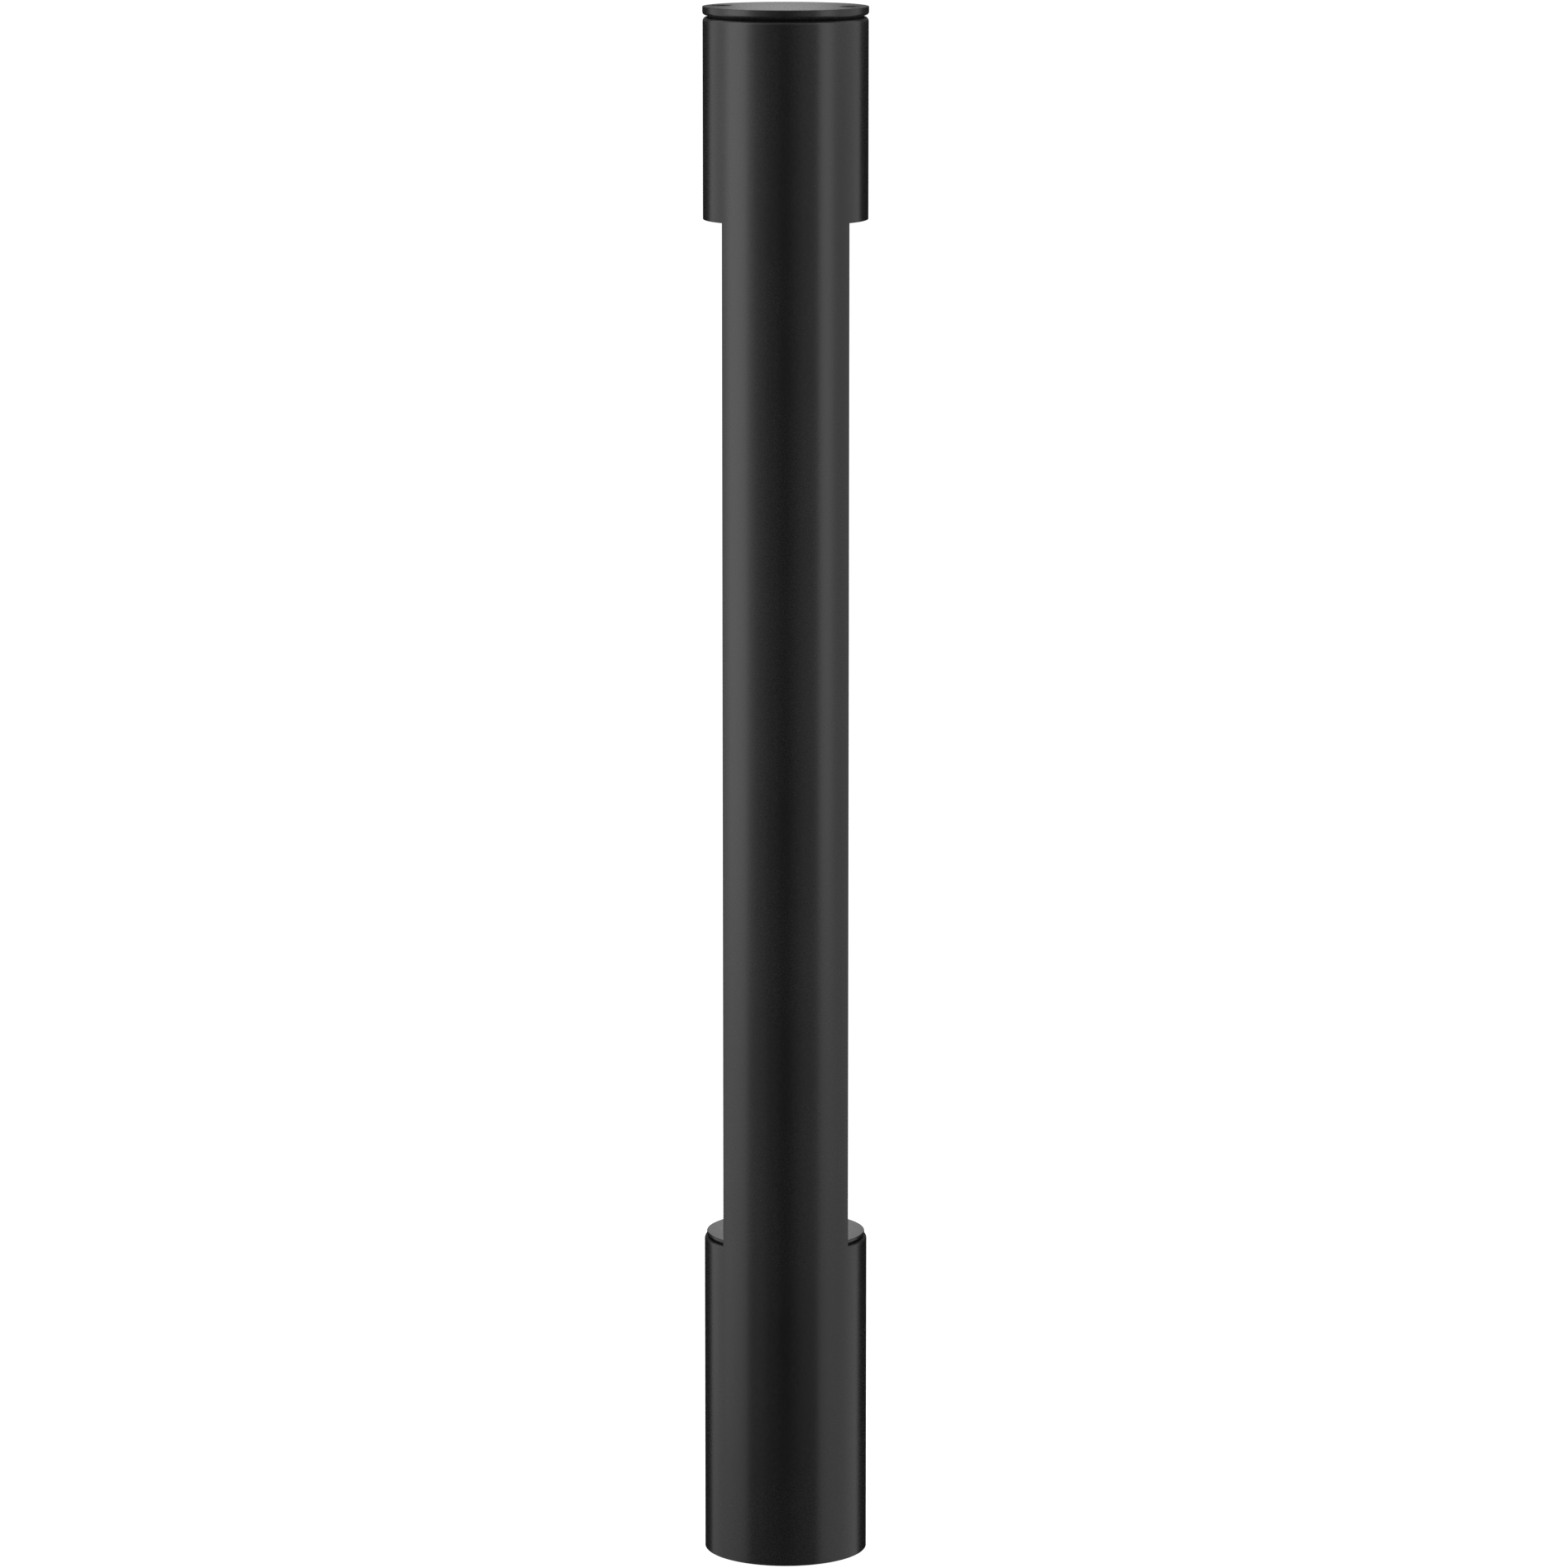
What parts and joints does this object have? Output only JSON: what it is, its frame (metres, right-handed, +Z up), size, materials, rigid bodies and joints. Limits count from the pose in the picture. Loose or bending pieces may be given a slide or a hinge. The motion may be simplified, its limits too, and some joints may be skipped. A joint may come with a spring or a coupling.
{
  "type": "bollard light post",
  "caption": "Round outdoor bollard light: tube post with a cut-away light window, flat lift-off lid, closing base disc and a swivelling ground flange.",
  "frame": {"origin": "on the ground under the post's axis", "axes": "+Z up along the post's axis; the closed strip faces -Y and the light window opens towards +Y; +X to the right of someone who looks at the closed side"},
  "size_m": [0.1004, 0.1004, 0.955],
  "materials": {
    "black_powder": "satin fine-texture powder coat",
    "cast_aluminium": "as cast, blasted",
    "stainless": "plain stainless",
    "stainless_black": "black oxide stainless",
    "zinc_steel": "zinc plated sheet",
    "gasket_rubber": "matt EPDM",
    "duct_plastic": "matt moulded",
    "lead_sheath": "matt rubber sheath",
    "box_plastic": "light grey moulded",
    "terminal_plastic": "natural nylon",
    "gland_plastic": "black nylon",
    "terminal_brass": "bright turned",
    "lamp_glass": "clear toughened",
    "bright_aluminium": "bright anodised",
    "board_white": "white solder mask",
    "led_phosphor": "phosphor under clear resin",
    "driver_case": "white moulded"
  },
  "bodies": {
    "foot": {"ground_gasket": "gasket_rubber", "mounting_flange": "cast_aluminium"},
    "post": {"post_tube": "black_powder", "grub_screws": "stainless", "base_disc": "black_powder", "base_disc_seal": "gasket_rubber", "base_disc_screws": "stainless_black", "base_bridge": "zinc_steel", "duct_cover": "black_powder", "duct_cover_screws": "stainless_black", "duct_ribs": "duct_plastic", "lead_grommets": "gasket_rubber", "internal_lead": "lead_sheath", "box_bracket": "zinc_steel", "terminal_box": "box_plastic", "terminal_box_lid": "box_plastic", "box_lid_screws": "stainless", "box_screws": "stainless", "terminal_block": "terminal_plastic", "terminal_screws": "terminal_brass", "mains_gland": "gland_plastic", "lead_gland": "gland_plastic", "earth_stud": "terminal_brass", "soffit_ring": "black_powder", "soffit_screws": "stainless_black", "glass_gasket": "gasket_rubber", "cover_glass": "lamp_glass", "reflector": "bright_aluminium", "led_board": "board_white", "led_chips": "led_phosphor", "heat_sink": "cast_aluminium", "tray_spacers": "zinc_steel", "tray_screws": "stainless", "driver_tray": "zinc_steel", "led_driver": "driver_case", "driver_screws": "stainless", "led_lead": "lead_sheath", "lid_seat": "cast_aluminium", "lid_seal": "gasket_rubber"},
    "lid": {"top_lid": "black_powder", "lid_band": "gasket_rubber", "lid_screws": "stainless_black"}
  },
  "joints": [
    {"name": "swivel", "type": "hinge", "parent": "foot", "child": "post", "pos_m": [0, 0, 0.036], "axis": [0, 0, 1], "range_deg": [-180, 180]},
    {"name": "lid_lift", "type": "slide", "parent": "post", "child": "lid", "axis": [0, 0, 1], "range_m": [0, 0.06]}
  ]
}
